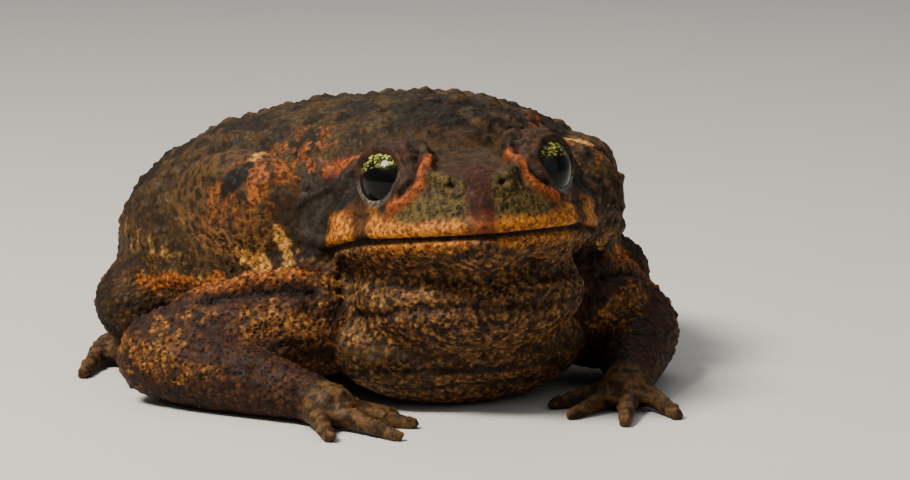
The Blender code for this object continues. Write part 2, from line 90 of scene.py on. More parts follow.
# Nostrils and eardrums, with their rims
NOSTRIL = (4.7, 3.4, 9.8)
NOSTRIL_SHAPE, NOSTRIL_WIDTH, NOSTRIL_DEPTH = (0.8, 1.1, 0.8), 0.95, 1.3
NOSTRIL_RIM, NOSTRIL_RIM_AWAY, NOSTRIL_RIM_WIDTH = 0.4, 2.0, 0.9
EARDRUM_CENTRE = (24.0, 35.0, 4.8)
EARDRUM_RADII = (3.9, 4.6)
EARDRUM_RIM, EARDRUM_DEPTH = 0.25, 0.4

# How the skin is made: swelling, voxels, passes of smoothing and of blurring its regions' edges
SWELL = 0.25
SKIN_VOXEL = 0.7
SMOOTHING = 16
REGION_BLUR = 4

# The face and the digits are smoothed less. The face's share fades out backward and downward.
CRISP_SMOOTHING = 0.45
FRONT_END, FRONT_FOOT = (46, 34), (-8, -2)

# Warts: count, radii and height as a share of the radius
LARGE_WARTS = (170, (1.3, 2.9), 0.38)
SMALL_WARTS = (1900, (0.5, 1.2), 0.4)
LARGE_WARTS_FROM = (12, 30)
WART_SEED = 5

# Pebbles of body and face, the glands' cells with a pore in each, the creases between the crown's lumps
PEBBLE_SIZE, PEBBLE_RISE, PEBBLE_SEED = 1.35, 0.2, 18
FACE_PEBBLE_SIZE, FACE_PEBBLE_RISE, FACE_PEBBLE_SEED = 0.95, 0.16, 14
GLAND_CELLS, CELL_RISE, PORE_DEPTH = (3.4, 45), 0.25, 0.35
CROWN_CREASES = (6.0, 65)

# The photograph: its size, where the snout lies in it and how it was seen
PHOTO_SIZE = (910, 480)
SNOUT_PIXEL = (484, 237)
LENS, SENSOR = 150.0, 36.0
CAMERA_DISTANCE = 684.0
CAMERA_AZIMUTH = -20.0
CAMERA_ELEVATION = 8.5

# Which nodes make each region of the skin
REGIONS = {
    "head": ("head",),
    "jaw": ("lower_jaw",),
    "gland": ("parotoid_left", "parotoid_right"),
    "arm": ("upper_arm_left", "upper_arm_right", "forearm_left", "forearm_right"),
    "leg": ("thigh_left", "thigh_right", "shin_left", "shin_right"),
    "digits": ("hand_left", "hand_right", "foot_left", "foot_right"),
}
EYES = ("eye_left", "eye_right")
FLESH = [name for name in sorted(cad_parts) if name not in EYES]


def turned(yaw, pitch, roll):
    """A turn about the upright axis after one about each level axis."""
    turn = Matrix.Rotation(math.radians(yaw), 4, "Z")
    turn = turn @ Matrix.Rotation(math.radians(roll), 4, "Y")
    return turn @ Matrix.Rotation(math.radians(pitch), 4, "X")


def head_matrix():
    """The head's axes in the frame, placed by the middle of the left eye's node."""
    low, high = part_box("eye_left")
    turn = turned(-HEAD_YAW, -HEAD_PITCH, -HEAD_ROLL)
    snout = (low + high) / 2 / MM - turn @ Vector(EYE_CENTRE)
    return Matrix.Translation(snout) @ turn


HEAD = head_matrix()


def eye_matrix(side):
    """Axes at one eye: +Z along its gaze, +Y up and +X along the slit between the lids."""
    x, distance, height = EYE_CENTRE
    gaze = Matrix.Rotation(math.radians(side * EYE_AXIS_YAW), 4, "Z")
    gaze = gaze @ Matrix.Rotation(math.radians(90 - EYE_AXIS_RISE), 4, "X")
    tilt = Matrix.Rotation(math.radians(-side * LID_TILT), 4, "Z")
    return HEAD @ Matrix.Translation((side * x, distance, height)) @ gaze @ tilt


def to_axes(points, axes):
    """The points in other axes."""
    inverse = np.array(axes.inverted())
    return points @ inverse[:3, :3].T + inverse[:3, 3]


def from_axes(points, axes):
    matrix = np.array(axes)
    return points @ matrix[:3, :3].T + matrix[:3, 3]


def step(value, low, high):
    """0 below low, 1 above high and a soft slope between them; low may be the larger."""
    share = np.clip((value - low) / (high - low), 0, 1)
    return share * share * (3 - 2 * share)


def bump(value, middle, width):
    """1 at the middle and a smooth fall to 0 on both sides."""
    return np.exp(-(((value - middle) / width) ** 2))


def hashed(cells, seed):
    """A number from 0 to 1 for each row of whole numbers, made by mixing up their bits."""
    mixed = cells[..., 0] * 73856093 ^ cells[..., 1] * 19349663 ^ cells[..., 2] * 83492791
    mixed = (mixed + seed * 40503) & 0xFFFFFFFF
    mixed = ((mixed ^ (mixed >> 13)) * 1274126177) & 0xFFFFFFFF
    mixed = ((mixed ^ (mixed >> 15)) * 2246822519) & 0xFFFFFFFF
    return ((mixed ^ (mixed >> 16)) & 0xFFFFFF) / 0x1000000


def soft_noise(points, size, seed):
    """Smooth noise from 0 to 1 with features of about that size."""
    at = points / size
    home = np.floor(at).astype(np.int64)
    share = at - home
    share = share * share * (3 - 2 * share)
    total = np.zeros(len(at))
    for corner in itertools.product((0, 1), repeat=3):
        weight = np.prod(np.abs(1 - np.array(corner) - share), axis=1)
        total += weight * hashed(home + corner, seed)
    return total


def rough_noise(points, size, seed):
    """Noise from 0 to 1 with smaller features on the larger ones."""
    weights = [0.5**k for k in range(3)]
    parts = [soft_noise(points, size / 2**k, seed + k) * weight for k, weight in enumerate(weights)]
    return sum(parts) / sum(weights)


def cell_noise(points, size, seed):
    """How far each point is from the nearest and from the second-nearest of scattered seeds."""
    at = points / size
    home = np.floor(at).astype(np.int64)
    first = np.full(len(at), 9.0)
    second = first.copy()
    for offset in itertools.product((-1, 0, 1), repeat=3):
        cell = home + offset
        seeds = cell + np.stack([hashed(cell, seed + k) for k in range(3)], axis=1)
        away = np.linalg.norm(at - seeds, axis=1)
        second = np.minimum(second, np.maximum(first, away))
        first = np.minimum(first, away)
    return first, second


def coordinates(mesh):
    flat = np.empty(len(mesh.vertices) * 3)
    mesh.vertices.foreach_get("co", flat)
    return flat.reshape(-1, 3)


def after(mesh, kind, **settings):
    """The mesh that one modifier makes of another."""
    thing = bpy.data.objects.new("working", mesh)
    bpy.context.scene.collection.objects.link(thing)
    change = thing.modifiers.new("change", kind)
    for name, value in settings.items():
        setattr(change, name, value)
    graph = bpy.context.evaluated_depsgraph_get()
    made = bpy.data.meshes.new_from_object(thing.evaluated_get(graph))
    bpy.data.objects.remove(thing)
    bpy.data.meshes.remove(mesh)
    return made


def swollen_flesh():
    """The flesh nodes in one mesh, a little swollen so that they fuse, with balls in the eye sockets."""
    gathered = bmesh.new()
    for name in FLESH:
        part = bmesh.new()
        part.from_mesh(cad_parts[name].data)
        bmesh.ops.scale(part, vec=(1 / MM,) * 3, verts=part.verts)
        bmesh.ops.remove_doubles(part, verts=part.verts, dist=1e-3)
        part.normal_update()
        for vertex in part.verts:
            vertex.co += vertex.normal * SWELL
        mesh = bpy.data.meshes.new("part")
        part.to_mesh(mesh)
        part.free()
        gathered.from_mesh(mesh)
        bpy.data.meshes.remove(mesh)
    for side in (LEFT, RIGHT):
        ball = EYE_RADIUS + SOCKET_MARGIN
        bmesh.ops.create_icosphere(gathered, subdivisions=4, radius=ball, matrix=eye_matrix(side))
    mesh = bpy.data.meshes.new("flesh")
    gathered.to_mesh(mesh)
    gathered.free()
    return mesh


def region_shares(points):
    """For each region, 1 on the skin over its nodes and 0 elsewhere."""
    names = [name for nodes in REGIONS.values() for name in nodes] + ["torso"]
    corners, faces, owner = [], [], []
    for region, name in enumerate(names):
        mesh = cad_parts[name].data
        mesh.calc_loop_triangles()
        offset = len(corners)
        corners += [v.co / MM for v in mesh.vertices]
        faces += [[offset + i for i in t.vertices] for t in mesh.loop_triangles]
        owner += [region] * len(mesh.loop_triangles)
    tree = BVHTree.FromPolygons(corners, faces)
    nearest = np.array([owner[tree.find_nearest(Vector(p))[2]] for p in points])
    return {
        region: np.isin(nearest, [names.index(name) for name in nodes]).astype(float)
        for region, nodes in REGIONS.items()
    }


class Skin:
    """The skin's points, with their normals and their places in the head's axes."""

    def __init__(self, mesh):
        self.mesh = mesh
        self.points = coordinates(mesh)
        corners = np.empty(len(mesh.polygons) * 4, np.int32)
        mesh.polygons.foreach_get("vertices", corners)
        self.corners = corners.reshape(-1, 4)
        edges = np.empty(len(mesh.edges) * 2, np.int32)
        mesh.edges.foreach_get("vertices", edges)
        self.edges = edges.reshape(-1, 2)
        self.renew()

    def summed(self, values, ends):
        return np.bincount(ends, values, minlength=len(self.points))

    def renew(self):
        """Works out the normals and the places in the head's axes again after a change."""
        quads = self.points[self.corners]
        across = np.cross(quads[:, 2] - quads[:, 0], quads[:, 3] - quads[:, 1])
        flat, ends = np.repeat(across, 4, axis=0), self.corners.ravel()
        normals = np.stack([self.summed(flat[:, k], ends) for k in range(3)], axis=1)
        self.normals = normals / np.maximum(np.linalg.norm(normals, axis=1), 1e-9)[:, None]
        self.head = to_axes(self.points, HEAD)

    def neighbours(self, values):
        """The mean of each point's neighbours."""
        a, b = self.edges.T
        count = self.summed(None, a) + self.summed(None, b)
        return (self.summed(values[b], a) + self.summed(values[a], b)) / count

    def soften(self, passes, share=1.0):
        """Takes facets off without shrinking: each pass smooths and then swells back."""
        for _ in range(passes):
            for push in (0.5, -0.52):
                mean = np.stack([self.neighbours(self.points[:, k]) for k in range(3)], axis=1)
                self.points += (mean - self.points) * push * np.reshape(share, (-1, 1))
        self.renew()

    def spread(self, values, passes):
        """The values with their edges blurred along the skin."""
        for _ in range(passes):
            values = 0.5 * values + 0.5 * self.neighbours(values)
        return values

    def lift(self, height):
        """Raises each point along its normal by its height."""
        self.points += self.normals * np.reshape(height, (-1, 1))
        self.renew()

    def save(self, shares=()):
        self.mesh.vertices.foreach_set("co", self.points.ravel())
        for name, values in dict(shares).items():
            layer = self.mesh.attributes.get(name) or self.mesh.attributes.new(name, "FLOAT", "POINT")
            layer.data.foreach_set("value", values.astype(np.float32))
        self.mesh.update()

    def read(self, name):
        values = np.empty(len(self.points), np.float32)
        self.mesh.attributes[name].data.foreach_get("value", values)
        return values.astype(float)


def base_skin():
    """One smooth closed skin over every flesh node, with the regions marked on it."""
    coarse = Skin(after(swollen_flesh(), "REMESH", mode="VOXEL", voxel_size=SKIN_VOXEL))
    shares = region_shares(coarse.points)
    front = step(coarse.head[:, 1], *FRONT_END) * step(coarse.head[:, 2], *FRONT_FOOT)
    crisp = np.maximum(front, shares["digits"])
    coarse.soften(SMOOTHING, 1 - (1 - CRISP_SMOOTHING) * crisp)
    coarse.lift(np.full(len(coarse.points), -SWELL))
    coarse.save({name: coarse.spread(values, REGION_BLUR) for name, values in shares.items()})
    return Skin(after(coarse.mesh, "SUBSURF", levels=1, render_levels=1))


def smooth_path(path, steps=6):
    """More points along a path, on a curve that passes through those given."""
    path = np.array(path, float)
    padded = np.vstack([2 * path[0] - path[1], path, 2 * path[-1] - path[-2]])
    out = []
    for a, b, c, d in zip(padded, padded[1:], padded[2:], padded[3:]):
        for t in np.arange(steps) / steps:
            turn = (2 * a - 5 * b + 4 * c - d) * t**2 + (3 * b - a - 3 * c + d) * t**3
            out.append(0.5 * (2 * b + (c - a) * t + turn))
    return np.array(out + [path[-1]])


# How many widths away from a path its mark has faded out
NEAR_ENOUGH = 2.6


def near_path(skin, tree, path, width, axes=HEAD):
    """1 on the skin along a path, fading to 0 beside it. The path is laid onto the skin first."""
    laid = from_axes(smooth_path(path), axes)
    laid = np.array([tree.find(Vector(point))[0] for point in laid])
    low, high = laid.min(0) - NEAR_ENOUGH * width, laid.max(0) + NEAR_ENOUGH * width
    where = np.flatnonzero(((skin.points > low) & (skin.points < high)).all(axis=1))
    points = skin.points[where]
    away = np.full(len(where), np.inf)
    for a, b in zip(laid, laid[1:]):
        along = b - a
        share = np.clip((points - a) @ along / max(along @ along, 1e-9), 0, 1)
        away = np.minimum(away, np.linalg.norm(points - a - share[:, None] * along, axis=1))
    out = np.zeros(len(skin.points))
    out[where] = np.exp(-((away / width) ** 2))
    return out


def tree_of(points):
    """A tree that finds the points near a place."""
    tree = KDTree(len(points))
    for index, point in enumerate(points):
        tree.insert(point, index)
    tree.balance()
    return tree


def mouth_height(distance):
    """How high the mouth line runs, that far back from the snout's tip."""
    return -MOUTH_DROP * (np.maximum(distance, 0) / MOUTH_CORNER) ** 3


def shape_eyes(skin):
    """Sinks the skin behind each eyeball within the lids' opening, and gives the lids a round edge.

    Gives how far out each point lies from the middle of an opening, as a share of the opening.
    """
    nearest = np.full(len(skin.points), 9.0)
    half, below, above = LID_OPENING
    for side in (LEFT, RIGHT):
        at = to_axes(skin.points, eye_matrix(side))
        away = np.linalg.norm(at, axis=1)
        ring = np.hypot(at[:, 0] / half, at[:, 1] / np.where(at[:, 1] > 0, above, below))
        where = np.flatnonzero((at[:, 2] > 1) & (away < EYE_RADIUS + LID_DEPTH) & (ring < LID_REACH))
        ring, radius = ring[where], away[where]
        out = at[where] / radius[:, None]
        ball = EYE_RADIUS + CORNEA_RISE * out[:, 2] ** 2
        sunk = ball - EYE_DEPTH_OF_SKIN
        upper = step(at[where, 1], -1.0, 1.5)
        lid = ball + LID_THICKNESS * (0.75 + 0.45 * upper)
        target = sunk + (np.maximum(lid, radius) - sunk) * step(ring, *LID_WALL) ** 0.6
        blend = np.where(ring < LID_SHOULDER, 1, step(ring, *LID_BLEND))
        final = np.where(ring < LID_WALL[0], sunk, radius + (target - radius) * blend)
        for middle, width, rise in LID_FOLDS:
            wavy = middle + 0.12 * (soft_noise(skin.points[where], *LID_WAVES) - 0.5)
            final += rise * bump(ring, wavy, width) * (0.15 + 0.95 * upper)
        at[where] = out * final[:, None]
        skin.points[where] = from_axes(at[where], eye_matrix(side))
        nearest[where] = np.minimum(nearest[where], ring)
    skin.renew()
    return nearest


def shape_mouth(skin):
    """Raises the lips and cuts the mouth line between them. Gives how high each point is above it."""
    _, distance, height = skin.head.T
    rise = height - mouth_height(distance)
    lips = sum(lift * bump(rise, middle, width) for lift, middle, width in LIP_RELIEF)
    skin.lift(lips * step(distance, *MOUTH_END))
    return rise


def shape_nostrils(skin):
    """Sinks a pit with a raised rim on each side of the snout, and gives where the pits are."""
    hole = np.zeros(len(skin.points))
    for side in (LEFT, RIGHT):
        at = skin.head - np.array((side * NOSTRIL[0], NOSTRIL[1], NOSTRIL[2]))
        away = np.linalg.norm(at / NOSTRIL_SHAPE, axis=1)
        near = bump(away, 0, NOSTRIL_WIDTH)
        hole = np.maximum(hole, near)
        height = NOSTRIL_RIM * bump(away, NOSTRIL_RIM_AWAY, NOSTRIL_RIM_WIDTH) - NOSTRIL_DEPTH * near
        skin.points += skin.normals * height[:, None]
    skin.renew()
    return hole


def shape_eardrums(skin):
    """Sinks a smooth disc with a low rim behind each eye, and gives where the discs are."""
    drum = np.zeros(len(skin.points))
    for side in (LEFT, RIGHT):
        x, distance, height = EARDRUM_CENTRE
        at = skin.head - np.array((side * x, distance, height))
        ring = np.hypot(at[:, 1] / EARDRUM_RADII[0], at[:, 2] / EARDRUM_RADII[1])
        ring = np.where(np.abs(at[:, 0]) < 7, ring, 9)
        drum = np.maximum(drum, step(ring, 1.0, 0.85))
        height = EARDRUM_RIM * bump(ring, 1.12, 0.16) - EARDRUM_DEPTH * step(ring, 1.05, 0.8)
        skin.points += skin.normals * height[:, None]
    skin.renew()
    return drum


# Ridges and folds of one side of the head: height, width and the path in the head's axes
FACE_LINES = {
    "snout_ridge": (0.45, 1.2, ((4.9, 4.6, 10.6), (6.6, 9.0, 12.4), (7.6, 14.0, 14.0))),
    "brow_ridge": (0.8, 1.3, ((7.6, 15.0, 15.0), (8.4, 20.0, 17.0), (9.6, 26.0, 17.6), (13.0, 32.0, 16.0))),
    "before_eye": (
        1.0, 1.25,
        ((7.6, 14.2, 14.4), (8.6, 10.8, 12.2), (10.0, 8.8, 9.8), (12.4, 9.4, 7.2), (14.6, 11.6, 5.8)),
    ),
    "before_eye_inner": (
        -0.8, 0.6, ((8.8, 16.2, 16.0), (9.4, 12.6, 13.4), (10.8, 10.6, 10.8), (13.0, 11.2, 8.2))
    ),
    "before_eye_front": (-0.5, 0.55, ((6.4, 12.8, 13.8), (7.3, 9.2, 11.4), (8.7, 7.1, 9.0))),
    "lid_fold": (
        -0.7, 0.7, ((9.6, 17.0, 17.4), (10.6, 21.5, 18.4), (13.5, 26.5, 17.2), (17.5, 30.0, 13.6))
    ),
    "behind_eye": (0.9, 1.4, ((15.0, 31.5, 15.0), (19.6, 31.6, 12.4), (21.8, 31.0, 8.6))),
    "to_gland": (0.6, 1.4, ((17.6, 33.0, 15.0), (20.0, 36.5, 13.4), (22.0, 40.5, 11.4))),
    # A shallow groove down the lip below the eye; a bar of painted shadow is laid along it
    "lip_gap": (-0.4, 3.2, ((20.9, 19.8, 5.6), (20.6, 18.0, 3.2), (20.5, 17.2, 0.9))),
    "under_eye": (-0.5, 0.7, ((15.8, 14.2, 5.2), (19.4, 18.5, 4.4), (22.4, 24.0, 4.6))),
    "cheek_fold": (-0.8, 0.9, ((24.6, 32.0, -2.4), (25.0, 36.0, -4.5), (25.5, 40.0, -8.0))),
    "jaw_fold": (-0.9, 1.0, ((23.0, 27.0, -3.8), (23.5, 31.0, -5.6), (24.5, 35.0, -9.5))),
    "jaw_fold_low": (-0.7, 0.9, ((20.5, 20.0, -5.4), (22.5, 26.0, -7.4), (23.5, 31.0, -10.5))),
}


def shape_face_lines(skin, tree):
    """Cuts the folds and raises the ridges of the face, and gives where each kind lies."""
    kinds = {name: np.zeros(len(skin.points)) for name in FACE_LINES}
    height = np.zeros(len(skin.points))
    for name, (rise, width, path) in FACE_LINES.items():
        for side in (LEFT, RIGHT):
            mirrored = [(side * x, y, z) for x, y, z in path]
            near = near_path(skin, tree, mirrored, width)
            kinds[name] = np.maximum(kinds[name], near)
        height += rise * kinds[name]
    skin.lift(height)
    return kinds


# Places tried for each wart, and how far apart two of them stay as a share of their radii together
TRIES, APART = 12, 1.15

# A wart's dome: how far it reaches, the point on top and its horny tip, as shares of the radius
DOME_REACH, POINT_HEIGHT, POINT_WIDTH, TIP_WIDTH = 1.15, 0.12, 0.3, 0.34


def scatter(skin, allowed, count, radii, chance):
    """Points of the skin for warts of random size, kept apart from one another."""
    order = chance.permutation(len(skin.points))[: count * TRIES]
    order = order[chance.random(len(order)) < allowed[order]]
    places, sizes = np.empty((0, 3)), np.empty(0)
    for index in order:
        size = chance.uniform(*radii)
        place = skin.points[index]
        if (np.linalg.norm(places - place, axis=1) > APART * (sizes + size)).all():
            places = np.vstack([places, place])
            sizes = np.append(sizes, size)
        if len(sizes) == count:
            break
    return places, sizes


def dome_field(skin, tree, places, sizes, rise):
    """The height of round warts with a small point on top, and how near each point is to a wart's tip."""
    height = np.zeros(len(skin.points))
    tip = np.zeros(len(skin.points))
    for place, size in zip(places, sizes):
        for _, index, away in tree.find_range(place, size * DOME_REACH):
            share = away / size
            point = POINT_HEIGHT * math.exp(-((share / POINT_WIDTH) ** 2))
            lump = max(1 - share * share, 0) ** 1.3 + point
            height[index] = max(height[index], rise * size * lump)
            tip[index] = max(tip[index], math.exp(-((share / TIP_WIDTH) ** 2)))
    return height, tip


def make_warts(skin, back, crown):
    """Large warts high on the back, small ones all over it and the crown: their height and horny tips."""
    chance = np.random.default_rng(WART_SEED)
    tree = tree_of(skin.points)
    height = np.zeros(len(skin.points))
    tip = height.copy()
    kinds = (
        (back * step(skin.points[:, 2], *LARGE_WARTS_FROM), LARGE_WARTS),
        (np.maximum(back, crown), SMALL_WARTS),
    )
    for allowed, (count, radii, rise) in kinds:
        places, sizes = scatter(skin, allowed, count, radii, chance)
        domes, tips = dome_field(skin, tree, places, sizes, rise)
        height = np.maximum(height, domes)
        tip = np.maximum(tip, tips * min(1, radii[0]))
    return height, tip


def furrows(skin, size, seed):
    """1 in the furrows between pebbles of that size and 0 on top of them."""
    first, second = cell_noise(skin.points, size, seed)
    return 1 - step(second - first, 0.03, 0.45)


def shape_granules(skin, shares, lids, drum, lines, folds):
    """Pebbles all over the skin, warts on the back and limbs, a lumpy crown and pores on the glands."""
    face = step(skin.head[:, 1], 40, 33) * step(skin.head[:, 2], -3, 0)
    crown = shares["head"] * step(skin.head[:, 2], 11, 14)
    under = step(skin.normals[:, 2], -0.1, -0.5)
    gland = shares["gland"]
    smooth = np.maximum.reduce(
        [drum, step(lids, 1.5, 1.2), 0.4 * shares["digits"], 0.6 * lines["before_eye"]]
    )
    rough = 1 - smooth
    back = (1 - face) * (1 - under) * (1 - shares["jaw"]) * (1 - gland) * rough * (1 - 0.8 * folds["glow"])
    warts, tip = make_warts(skin, back, 0.5 * crown * rough)
    creased = np.abs(2 * rough_noise(skin.points, *CROWN_CREASES) - 1)
    lumps = 0.8 * crown * rough * (0.35 - 1.6 * creased)
    coarse = np.maximum.reduce([shares["jaw"], shares["arm"], shares["leg"], under])
    pebbled = (1 - face) * rough * (1 - 0.75 * gland) * (0.75 + 0.25 * coarse)
    fine = face * rough * np.maximum(np.maximum(crown, 0.35), step(skin.head[:, 2], 5.5, 7.5))
    furrow = furrows(skin, PEBBLE_SIZE, PEBBLE_SEED)
    fine_furrow = furrows(skin, FACE_PEBBLE_SIZE, FACE_PEBBLE_SEED)
    pebbles = PEBBLE_RISE * pebbled * (0.5 - furrow) + FACE_PEBBLE_RISE * fine * (0.5 - fine_furrow)
    first, second = cell_noise(skin.points, *GLAND_CELLS)
    pitted = gland * (CELL_RISE * step(second - first, 0.0, 0.5) - PORE_DEPTH * bump(first, 0, 0.15))
    skin.lift(lumps + warts + pebbles + pitted)
    return {
        # Masks for painted shade in the furrows and the glands' pores, and for the horny tips and the warts'
        # own tone
        "furrow": np.maximum(furrow * pebbled, 0.5 * fine_furrow * step(fine, 0.4, 0.9)),
        "tip": tip,
        "pore_shade": gland * bump(first, 0, 0.13),
        "wart": 0.6 * step(warts, 0.15, 0.7),
    }


# Folds and marks of one side of the body, in the frame's own axes: paths laid onto the skin
UPRIGHT = Matrix.Identity(4)
ARM_FOLD = ((47.5, -23.5, 20.5), (41.5, -26.9, 21.8), (36.0, -29.8, 22.4), (29.2, -33.2, 22.2))
ARM_BAND = (
    (52.0, -2.0, 18.5), (48.5, -17.0, 21.0), (43.0, -23.8, 23.4), (37.5, -26.8, 24.4), (31.5, -29.5, 24.6)
)
FLANK_BAND = ((50.5, 9.0, 18.6), (46.6, 3.2, 19.0), (43.0, -2.6, 19.4), (41.8, -9.0, 20.4))
CREAM_MARKS = (
    ((31.4, -19.2, 31.4), (30.6, -20.2, 28.8), (30.6, -22.0, 26.8), (32.6, -26.0, 25.6)),
    ((36.6, -12.0, 26.6), (35.0, -15.0, 25.4), (35.4, -21.0, 25.2), (36.0, -24.5, 24.9)),
)
GLAND_GLOW = (
    (25.0, -16.0, 46.5), (29.5, -16.0, 43.5), (34.0, -17.0, 39.5), (38.0, -14.6, 35.0), (40.0, -12.0, 32.0)
)
ARM_GOLD = (
    ((37.0, -33.4, 18.2), (32.5, -35.4, 16.4), (28.8, -36.3, 14.4)),
    ((60.0, -22.8, 11.2), (57.3, -27.2, 8.0)),
)
# A painted shadow high on the gland: a dark lens, darkest along its middle
SHADOW_SPOT = ((39.9, -11.8, 39.2), (37.8, -13.6, 41.6), (35.6, -14.0, 43.7))
SHADOW_SPOT_MIDDLE = ((38.9, -12.7, 40.5), (37.0, -13.8, 42.4))
PALE_DASH = ((34.5, -13.3, 44.8), (33.0, -11.4, 45.6), (31.4, -9.2, 46.2))

# Folds across the whole body, those of the chest in the frame's axes and those of the throat in the head's
CHEST_FOLDS = (
    ((-17.0, -42.0, 9.5), (-6.0, -49.0, 9.0), (6.0, -49.0, 8.8), (16.0, -43.0, 9.2)),
    ((-15.0, -42.0, 6.0), (-5.0, -47.5, 5.4), (5.0, -47.5, 5.4), (14.0, -43.0, 6.0)),
)
THROAT_FOLDS = (
    ((-19.0, 22.0, -8.2), (-11.0, 12.0, -7.6), (0.0, 6.5, -7.2), (11.0, 12.0, -7.6), (19.0, 22.0, -8.2)),
    ((-21, 26, -14.0), (-12, 14, -13.4), (0, 10.5, -13.0), (12, 14, -13.4), (21, 26, -14.0)),
)

# How wide each kind is, and how high or deep those that are relief
PATH_WIDTHS = {
    "fold": 1.3, "band": 2.4, "glow": 6.5, "throat": 1.1, "chest": 0.8, "flank_band": 2.0, "gold": 4.0,
    "cream": 2.1, "around_cream": 6.5, "shadow_spot": 1.5, "shadow_spot_middle": 2.5, "dash": 1.0,
}
FOLD_RELIEF = {"band": 1.1, "fold": -1.9, "throat": -0.8, "chest": -0.6}


def both_sides(skin, tree, path, width, axes=UPRIGHT):
    """How near the skin is to a path or to its mirror image."""
    mirrored = [(-x, y, z) for x, y, z in path]
    return np.maximum(*(near_path(skin, tree, one, width, axes) for one in (path, mirrored)))


def shape_body_folds(skin, tree):
    """The fold over each arm with the swelling above it, and the creases of the throat and chest."""
    kinds = {
        name: both_sides(skin, tree, path, PATH_WIDTHS[name])
        for name, path in (("fold", ARM_FOLD), ("band", ARM_BAND), ("glow", GLAND_GLOW))
    }
    kinds["throat"] = sum(near_path(skin, tree, path, PATH_WIDTHS["throat"]) for path in THROAT_FOLDS)
    kinds["chest"] = sum(near_path(skin, tree, path, PATH_WIDTHS["chest"], UPRIGHT) for path in CHEST_FOLDS)
    skin.lift(sum(height * kinds[name] for name, height in FOLD_RELIEF.items()))
    return kinds


# Noises that fray the edges of the marks or break them up: the size of their features and their seed
FRAY, COARSE, BROKEN = (2.2, 31), (7.0, 21), (1.5, 33)
STREAKS, STREAK_STRETCH = (1.5, 41), (0.8, 1.0, 2.6)
GOLD_PATCHES, BLOTCHES = (8.0, 71), (13.0, 81)
SCATTERED, SCATTERED_STRETCH = (3.0, 51), (1.0, 1.0, 1.4)
LEG_BAR_SPACING = 10.0

# Soft limits of the marks of the face, in the head's axes: where a share is 0 and where it is 1
FACE_BACK, FACE_FOOT = (41, 36), (-0.4, 0.1)
MUZZLE_SIDE, MUZZLE_BACK = (8.0, 4.0), (17, 8)
LORE_SIDE, LORE_BACK, LORE_TOP, LORE_SLOPE = (1.6, 3.4), (19, 14), (13.5, 11), (9.8, 7.8)
LIP_FOOT, LIP_BACK, LIP_SIDE, OVER_LIP_BACK = (0.05, 0.5), (33, 26), (1.0, 5.0), (30, 24)
LOWER_LIP_TOP, LOWER_LIP_FOOT = (-0.3, -0.7), (-3.2, -1.9)
LOWER_LIP_BACK, LOWER_LIP_SIDE = (21, 15), (1.5, 4.0)
CHEEK_FRONT, CHEEK_SIDE, CHEEK_FOOT, CHEEK_TOP = (23.5, 26), (14, 18), (4.4, 6.0), (14, 12)
EAR_FRONT, EAR_SIDE, EAR_TOP = (26, 30), (18, 21), (12.5, 11)
RUST_BACK, WET_TOP = (44, 38), (17.0, 13.5)

# Soft limits of the marks of the body: the slope of its underside, heights over the ground, and levels of
# the noises that make patches
UNDERSIDE, FLANK_TOP, STREAKS_FOOT, SCATTER_FOOT = (0.05, -0.5), (36, 26), (29, 37), (6, 12)
STREAK_LEVELS, STREAK_GLOW = (0.48, 0.6), (0.1, 0.5)
GOLD_LEVELS, BLOTCH_LEVELS, SCATTER_LEVELS = (0.54, 0.64), (0.52, 0.6), (0.66, 0.74)

# Shares of the lids' opening: the skin of the lids, their wet rim with its painted sheen, and the start of
# the lores
LID_SKIN, WET_RIM, LORE_FROM_LIDS = (2.15, 1.6), (1.26, 1.05), (1.85, 2.3)

# How much painted shade darkens each fold of the face
FOLD_SHADES = {
    "before_eye_inner": 0.9, "lid_fold": 0.7, "before_eye_front": 0.6, "under_eye": 0.6, "cheek_fold": 0.5,
    "jaw_fold": 0.5,
}


# The ragged edge of each mark: how far a noise moves it, and between which values it lies
EDGES = {
    "gap_shadow": (0.7, 0.3, 0.75), "bars": (2.4, 0.1, 0.8), "shade": (0.8, 0.3, 0.8), "gold": (1.3, 0.42, 0.85),
    "band": (1.2, 0.42, 0.75), "cream": (1.3, 0.5, 0.75), "shadow_spot": (0.7, 0.3, 0.75),
}


def frayed(values, reach, noise):
    """The values with a noise's ups and downs on them, so that an edge drawn at one of them is ragged."""
    return values + reach * (noise - 0.5)


def edged(name, values, noise):
    """1 within a mark and 0 outside it, with the mark's own ragged edge."""
    reach, low, high = EDGES[name]
    return step(frayed(values, reach, noise), low, high)


